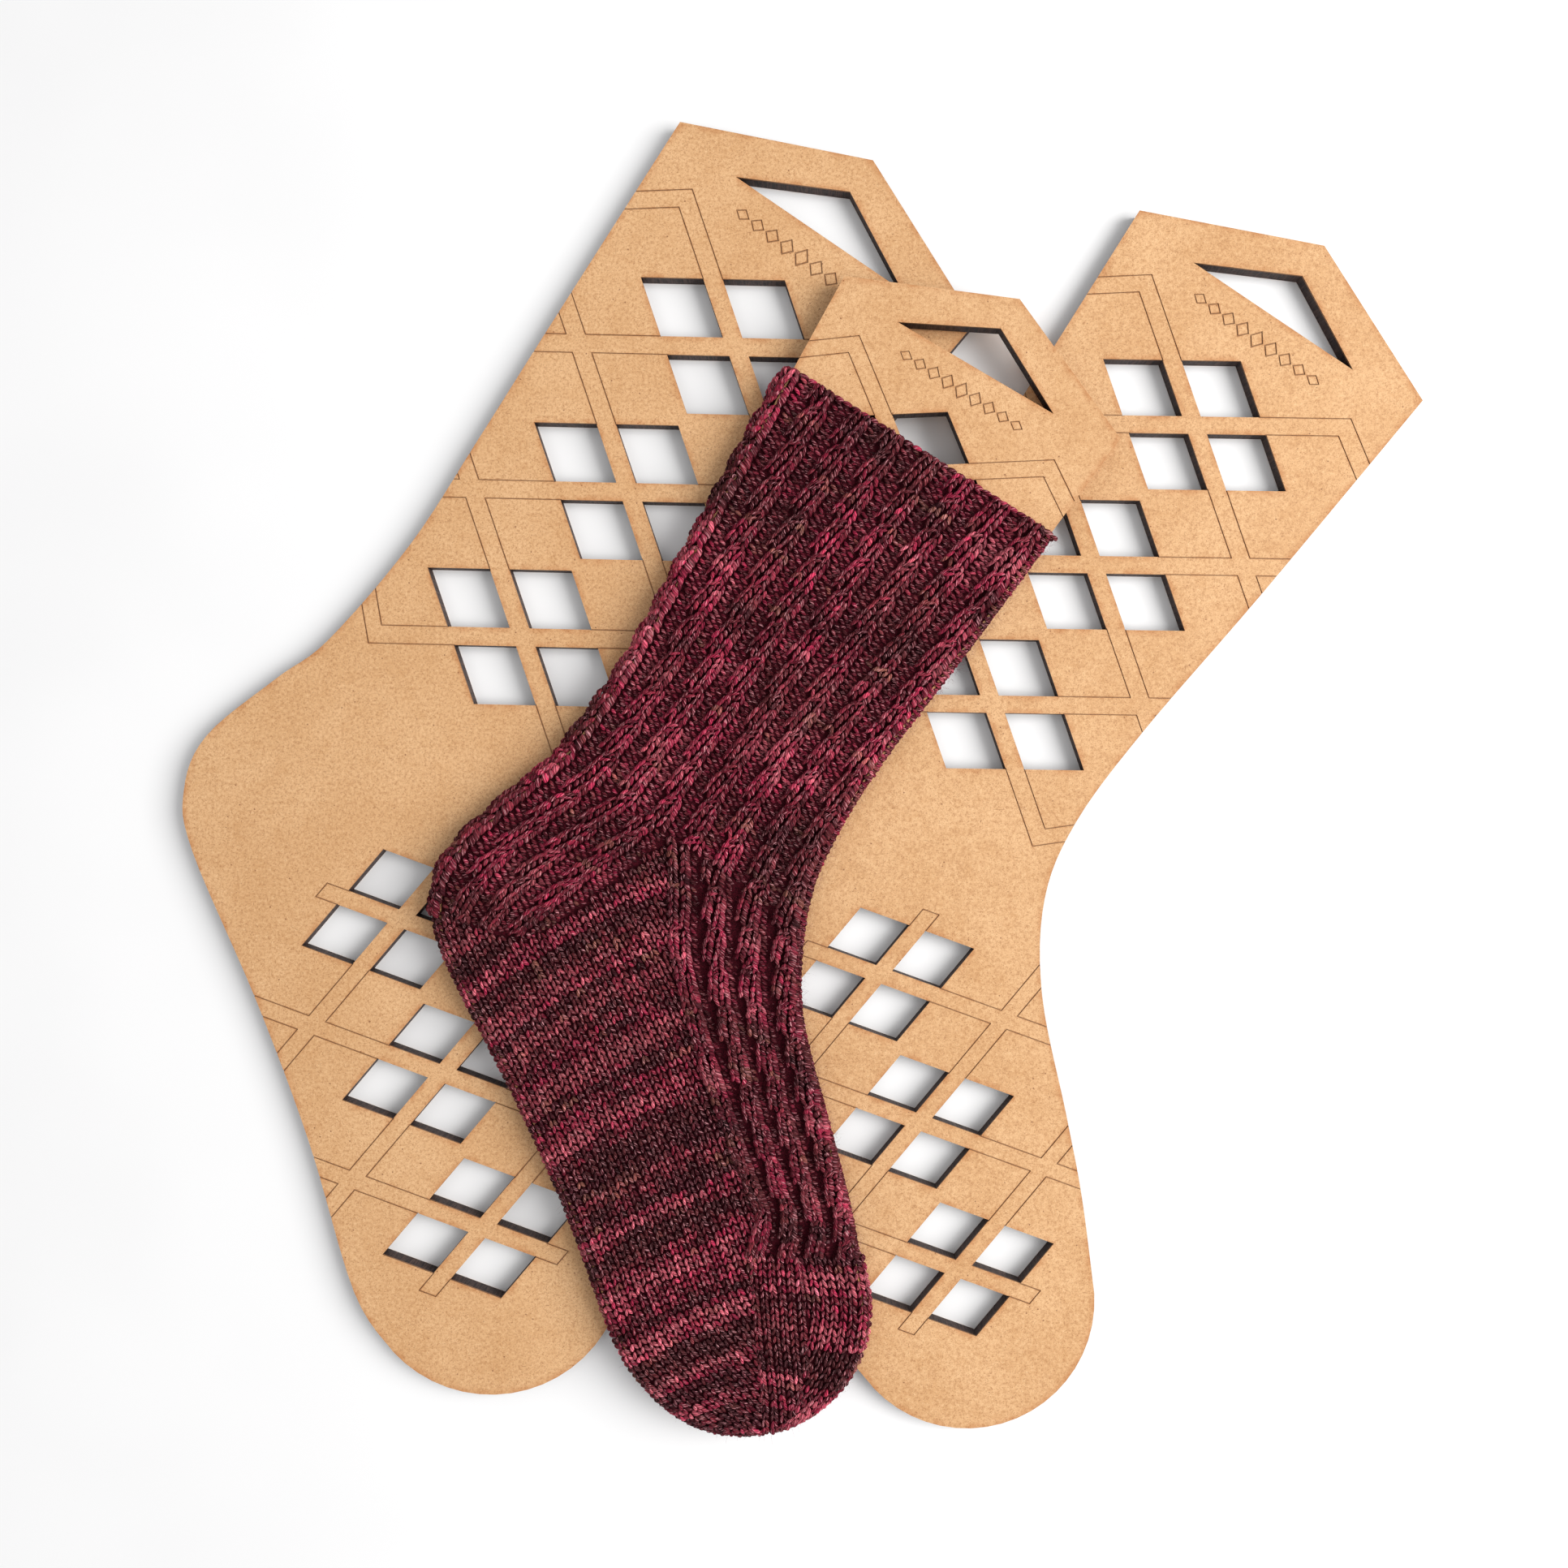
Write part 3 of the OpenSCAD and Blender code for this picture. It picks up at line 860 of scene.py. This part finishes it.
def spun(name, yarn, wrap, material, side, seed):
    """The lobes as one mesh, wrapped over the board. side is 1 on the front, -1 on the back."""
    rng = np.random.default_rng(seed)
    lobes = yarn.joined()
    template, faces = lobe_template()
    half = (lobes["b"] - lobes["a"]) / 2
    length = np.maximum(np.linalg.norm(half, axis=1), 1e-3)
    plan, out = lobe_points(lobes, template, half, length, rng)
    first = len(template) * np.arange(len(half))
    triangles = (faces[None] + first[:, None, None]).reshape(-1, 3)
    if side < 0:
        out = out * BACK_PRESS
        triangles = triangles[:, ::-1]
    obj = make_mesh(name, wrap.shared(plan.reshape(-1, 2), out.ravel(), side), triangles)
    paint_lobes(obj.data, lobes["dye"], template, length, rng)
    obj.data.materials.append(material)
    plan_uv(obj)
    return obj


# ---- the sock --------------------------------------------------------------

# Landmarks in the small blocker's frame
SPLIT = (-2, 35.5)                # where heel flap, instep and gusset meet
LEG_FOOT = ((-50, 38), (51, 33))  # ends of the leg's last row
FLAP_END = (-56.5, -28.5)         # heel turn, at the back of the heel
FLAP_CORNER = (-21, -16)          # heel turn, on the sole
TOE_START = (92.5, -65.5)         # where the instep's rib ends, on the sole side
TOE_OUTER = (126, -46)            # the same row on the outer side
SOLE_END = (116, -122.5)          # last row of the sole, at the sole's edge
TOE_END = (128.5, -114.5)         # last row of the sole and the toe, where they meet
SEAM_START = (-16, 52)            # the first row of the sole, hidden under the heel flap

LEG_STITCHES, LEG_ROWS = 32, 68
FLAP_STITCHES, FLAP_ROWS = 16, 28
INSTEP_STITCHES, INSTEP_ROWS = 16, 60
SOLE_STITCHES, SOLE_ROWS = 40, 92   # stitches in the widest row
TOE_STITCHES, TOE_ROWS = 14, 26     # stitches in the widest row of each half
RIDGE_SHARE = (0.42, 0.55)          # how far across the toe its ridge starts and ends
FRONT_SEED, BACK_SEED, FUZZ_SEED = 100, 500, 9

FLAP_SIDE = through([SPLIT, (-6, 24), (-11, 10), (-16, -4), FLAP_CORNER], FLAP_ROWS)
INSTEP_SIDE = through([SPLIT, (7, 22.5), (20, 3.5), (48, -22.5), (77, -45), (88, -53),
                       TOE_START], INSTEP_ROWS)
TOE_LINE = through([TOE_START, (107.5, -85.5), (122, -104), TOE_END], TOE_ROWS)


def in_flap(wrap):
    """A test for the places that the heel flap covers."""
    past_edge = (20, 0)
    under_turn, up_leg, above_flap = (-33, -21.5), (-9, 60), (-60, 60)
    back = wrap.rail(wrap.left, above_flap, FLAP_END, count=40)
    ring = np.vstack([FLAP_SIDE, under_turn, back[::-1] - past_edge, up_leg])
    return lambda xy: wrap.signed_depth(xy, np.vstack([ring, ring[:1]])) > -0.4


def fabric_pieces(wrap):
    """The layouts of the leg, heel flap, instep, sole and the toe's inner and outer half."""
    leg = Loft(wrap.rail(wrap.left, wrap.left[0], LEG_FOOT[0], LEG_ROWS),
               wrap.rail(wrap.right, wrap.right[0], LEG_FOOT[1], LEG_ROWS), LEG_STITCHES)
    flap = Loft(wrap.rail(wrap.left, LEG_FOOT[0], FLAP_END, FLAP_ROWS), FLAP_SIDE,
                FLAP_STITCHES)
    instep = Loft(INSTEP_SIDE, wrap.rail(wrap.right, LEG_FOOT[1], TOE_OUTER, INSTEP_ROWS),
                  INSTEP_STITCHES)

    # the sole's rows run from its edge to the seam beside the instep and the toe
    knots = [SPLIT, *INSTEP_SIDE[8::8], *TOE_LINE[6::6], TOE_END]
    seam = np.vstack([[SEAM_START], through(knots, count=84)])
    sole = Loft(wrap.rail(wrap.left, FLAP_END, SOLE_END, SOLE_ROWS), resampled(seam, SOLE_ROWS),
                bulge=3.0)

    outer = wrap.rail(wrap.right, TOE_OUTER, wrap.right[-1], TOE_ROWS)
    share = np.linspace(*RIDGE_SHARE, TOE_ROWS + 1)[:, None]
    ridge = TOE_LINE * (1 - share) + outer * share
    return leg, flap, instep, sole, Loft(TOE_LINE, ridge), Loft(ridge, outer, from_right=True)


def cast_on(cloth, seed):
    """The cuff's edge: a row of fat bumps above the first row."""
    rng = np.random.default_rng(seed)
    yarn = Yarn()
    u = np.arange(LEG_STITCHES, dtype=float)
    v = np.zeros(len(u))
    dye = dyed(u, v, (9.0, 6.0), seed)
    yarn.add(cloth(u - 0.05, v + 0.10), cloth(u + 1.05, v - 0.02), half_w=0.85, half_t=0.85,
             out=0.55 + rng.normal(0, 0.08, len(u)), arch=0.35, dye=dye)
    return yarn


def sock_side(wrap, side, material, seed):
    """All the knitting on one side, as a few pieces small enough to handle."""
    leg, flap, instep, sole, toe_inner, toe_outer = fabric_pieces(wrap)
    word = "front" if side > 0 else "back"
    yarns = {
        "leg": ribbed(leg, LEG_STITCHES, (5.0, 7.0), seed, LEG_SPREAD),
        "heel": ribbed(flap, FLAP_STITCHES, (5.0, 6.0), seed + 10, LEG_SPREAD),
        "instep": ribbed(instep, INSTEP_STITCHES, (6.0, 4.0), seed + 20, INSTEP_SPREAD,
                         drop=0.8, shade=0.80),
        "sole": plain(sole, SOLE_STITCHES, seed + 30, hide=in_flap(wrap)),
        "toe_inner": plain(toe_inner, TOE_STITCHES, seed + 40, more_rows=1),
        "toe_outer": plain(toe_outer, TOE_STITCHES, seed + 50),
        "cuff_edge": cast_on(leg, seed + 60),
    }
    return [spun(f"sock_{name}_{word}", yarn, wrap, material, side, seed + n)
            for n, (name, yarn) in enumerate(yarns.items())]


def ground_shell(wrap, material):
    """The fabric under the stitches, coloured in painted shade: a thin bag round the board, open
    at the cuff.
    """
    across, along = 40, 150
    below_yarn, thickness, weld_reach = 0.25, 0.7, 0.05
    left, right = [wrap.layout_edge(resampled(chain, along)) for chain in (wrap.left, wrap.right)]
    part = (1 - np.cos(np.pi * np.arange(across + 1) / across)) / 2
    sheet = left[:, None] + (right - left)[:, None] * part[None, :, None]
    flat = sheet.reshape(-1, 2)
    out = np.full(len(flat), -below_yarn)
    points = np.vstack([wrap.shared(flat, out, side) for side in (1, -1)])
    row = across + 1
    quad = np.array([(i * row + j, (i + 1) * row + j, (i + 1) * row + j + 1, i * row + j + 1)
                     for i in range(along) for j in range(across)])
    up = np.vstack([quad[:, [0, 1, 2]], quad[:, [0, 2, 3]]])
    down = up[:, ::-1] + len(flat)
    obj = make_mesh("sock_ground", points, np.vstack([up, down]))
    weld = obj.modifiers.new("weld", "WELD")
    weld.merge_threshold = weld_reach * MM
    thick = obj.modifiers.new("thick", "SOLIDIFY")
    thick.thickness = thickness * MM
    thick.offset = -1
    obj.data.materials.append(material)
    return obj


def fibre_roots(wrap, rng):
    """Plan places where loose fibres start, and how many of them are on the edges."""
    per_edge, on_face = 1500, 1400
    sides = [resampled(chain, count=2000) for chain in (wrap.left, wrap.right)]
    edge = np.vstack([s[rng.integers(0, len(s), per_edge)] for s in sides])
    corner, size = (-60, -135), (190, 320)
    face = rng.random((on_face, 2)) * size + corner
    on_sock = (wrap.sample(wrap.depth, face) > 0.5) & (face[:, 1] < wrap.cuff - 4)
    return np.vstack([edge, face[on_sock]]), len(edge)


def fibre_paths(wrap, rng):
    """Root, middle and end of each loose fibre: those on the edges point outwards."""
    plan, on_edge = fibre_roots(wrap, rng)
    n = len(plan)
    root = wrap(plan, rng.normal(0.6, 0.3, n))
    out = -wrap.sample(wrap.inward, plan)
    edge = (np.arange(n) < on_edge)[:, None]
    way = np.column_stack([np.where(edge, out, 0) * rng.uniform(0.2, 1, (n, 1)), np.zeros(n)])
    way = way + rng.normal(0, 0.45, (n, 3))
    way[:, 2] = np.where(edge[:, 0], way[:, 2], np.abs(way[:, 2]) * 0.5 + 0.2)
    way /= np.linalg.norm(way, axis=1)[:, None]
    longest = 3.0
    length = np.minimum(rng.gamma(3.0, 0.4, n), longest)[:, None]
    bend = rng.normal(0, 0.35, (n, 3)) * length
    return root, root + way * length * 0.5 + bend * 0.3, root + way * length + bend


def stray_fibres(wrap, material, seed):
    """A faint halo of loose wool fibres standing out of the fabric and its edges."""
    paths = fibre_paths(wrap, np.random.default_rng(seed))
    radius, taper = 0.035, 0.4
    ring = radius * np.array([[1, 0, 0], [-0.5, 0.6, 0.6], [-0.5, -0.6, -0.6]])
    rings = [s[:, None] + ring[None] * (1 - taper * k) for k, s in enumerate(paths)]
    points = np.stack(rings, 1).reshape(-1, 3)
    points[:, 2] += MID_Z
    points[:, :2] = to_shared(points[:, :2])
    wall = [(3 * k + i, 3 * k + (i + 1) % 3, 3 * k + 3 + (i + 1) % 3, 3 * k + 3 + i)
            for k in range(2) for i in range(3)]
    one = np.array([t for a, b, c, d in wall for t in ((a, b, c), (a, c, d))])
    faces = (one[None] + 9 * np.arange(len(paths[0]))[:, None, None]).reshape(-1, 3)
    obj = make_mesh("sock_fuzz", points, faces)
    obj.data.materials.append(material)
    plan_uv(obj)
    return obj


def build_sock():
    """The whole sock, which stands for its CAD node and moves with the small blocker."""
    wrap = Wrap(cad_outline())
    wool = yarn_material("wool_yarn")
    pieces = [ground_shell(wrap, ground_material("wool_shade"))]
    pieces += sock_side(wrap, 1, wool, FRONT_SEED)
    pieces += sock_side(wrap, -1, wool, BACK_SEED)
    pieces.append(stray_fibres(wrap, fuzz_material("wool_fibres"), FUZZ_SEED))
    for piece in pieces:
        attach(piece, "small_blocker_with_sock")
        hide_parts("sock")


def dress_boards():
    """Gives each board its own piece of fibreboard."""
    for n, name in enumerate(("large_blocker", "medium_blocker", "small_blocker")):
        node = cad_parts[name]
        top = max(v.co.z for v in node.data.vertices) / MM
        material = board_material(f"fibreboard_{n + 1}", top, GRAIN_SHIFT * n)
        node.data.materials.clear()
        node.data.materials.append(material)


# ---- studio ----------------------------------------------------------------

# Metres and watts. The key light stands to the right, and the top one fills the shadows
LOOK_AT = (0.14, 0.02, 0)
KEY_AT = (1.30, 0.0, 1.08)
KEY_SIZE = (1.1, 1.1)
KEY_POWER = 29
KEY_COLOUR = (1.0, 0.995, 0.98)
TOP_AT = (0.1, 0.0, 1.9)
TOP_SIZE = (2.2, 2.2)
TOP_POWER = 8
WHITE = (1, 1, 1)
SKY = 0.40

FLOOR_SIZE = 6
FLOOR_AT = (0.15, 0, -0.0004)     # just under the boards, so that no faces coincide

# The camera looks straight down from just under half a metre
EYE = (0.14584, 0.02249, 0.49135)
SENSOR = 36.0
LENS = 33.47
SHIFT = (-0.0212, -0.0119)


def area_light(name, place, size, power, colour):
    """A rectangular light that faces the part."""
    data = bpy.data.lights.new(name, "AREA")
    data.shape = "RECTANGLE"
    data.size, data.size_y = size
    data.energy = power
    data.color = colour
    light = bpy.data.objects.new(name, data)
    way = np.array(LOOK_AT, float) - np.array(place, float)
    light.location = place
    light.rotation_euler = mathutils.Vector(way).to_track_quat("-Z", "Y").to_euler()
    bpy.context.scene.collection.objects.link(light)


def light_studio():
    """Two soft lights and an even white sky."""
    area_light("key", KEY_AT, KEY_SIZE, KEY_POWER, KEY_COLOUR)
    area_light("top", TOP_AT, TOP_SIZE, TOP_POWER, WHITE)
    world = bpy.data.worlds.new("studio")
    world.use_nodes = True
    sky = world.node_tree.nodes["Background"]
    sky.inputs["Color"].default_value = rgba(WHITE)
    sky.inputs["Strength"].default_value = SKY
    bpy.context.scene.world = world
    bpy.context.scene.view_settings.view_transform = "Standard"


def lay_floor():
    """The table top, as stage scenery."""
    bpy.ops.mesh.primitive_plane_add(size=FLOOR_SIZE, location=FLOOR_AT)
    floor = bpy.context.object
    floor.name = "floor"
    floor.data.materials.append(floor_material())


def set_camera():
    """The camera over the set, with a slight shift of the lens."""
    data = bpy.data.cameras.new("camera")
    data.sensor_width = SENSOR
    data.lens = LENS
    data.shift_x, data.shift_y = SHIFT
    data.clip_start = 0.01
    camera = bpy.data.objects.new("camera", data)
    camera.location = EYE
    bpy.context.scene.collection.objects.link(camera)
    bpy.context.scene.camera = camera


dress_boards()
build_sock()
lay_floor()
light_studio()
set_camera()
